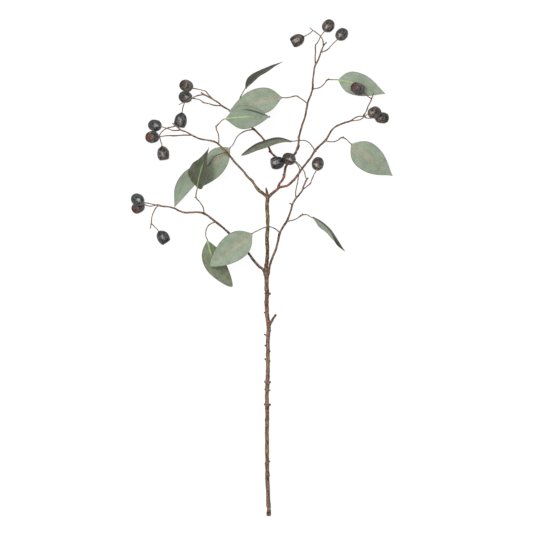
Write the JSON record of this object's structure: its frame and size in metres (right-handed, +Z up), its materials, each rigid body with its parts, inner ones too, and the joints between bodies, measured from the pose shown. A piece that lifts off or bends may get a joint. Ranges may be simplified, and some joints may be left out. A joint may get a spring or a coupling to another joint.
{
  "type": "eucalyptus branch",
  "caption": "Cut eucalyptus branch lying down: a slim knobbly stem with forked limbs, stalked oval leaves and round dark seed capsules at the twig ends.",
  "frame": {"origin": "middle of the underside of the whole branch, on the surface that it lies on", "axes": "+Y along the stem from the cut end to the crown, +Z up from the surface, +X to the right seen from above"},
  "size_m": [0.3672, 0.6976, 0.0764],
  "materials": {
    "bark": "matt grey-brown bark, reddish on the young limbs and green-brown in patches up the stem, with leaf scars and knobs",
    "leaf": "matt sage green leaf with a waxy bloom, pinkish along the midrib above, duller below with a raised pale green rib",
    "capsule": "dark charcoal-brown woody skin, faintly streaked, with a soft low gloss and a reddish disc at the end"
  },
  "bodies": {
    "root": {"stem": "bark", "leaf_01": "leaf", "leaf_02": "leaf", "leaf_03": "leaf", "leaf_04": "leaf", "leaf_05": "leaf", "leaf_06": "leaf", "leaf_07": "leaf", "leaf_08": "leaf", "leaf_09": "leaf", "leaf_10": "leaf", "leaf_11": "leaf", "leaf_12": "leaf", "capsule_01": "capsule", "capsule_02": "capsule", "capsule_03": "capsule", "capsule_04": "capsule", "capsule_05": "capsule", "capsule_06": "capsule", "capsule_07": "capsule", "capsule_08": "capsule", "capsule_09": "capsule", "capsule_10": "capsule", "capsule_11": "capsule", "capsule_12": "capsule", "capsule_13": "capsule", "capsule_14": "capsule", "capsule_15": "capsule", "capsule_16": "capsule", "capsule_17": "capsule", "capsule_18": "capsule"}
  },
  "joints": []
}
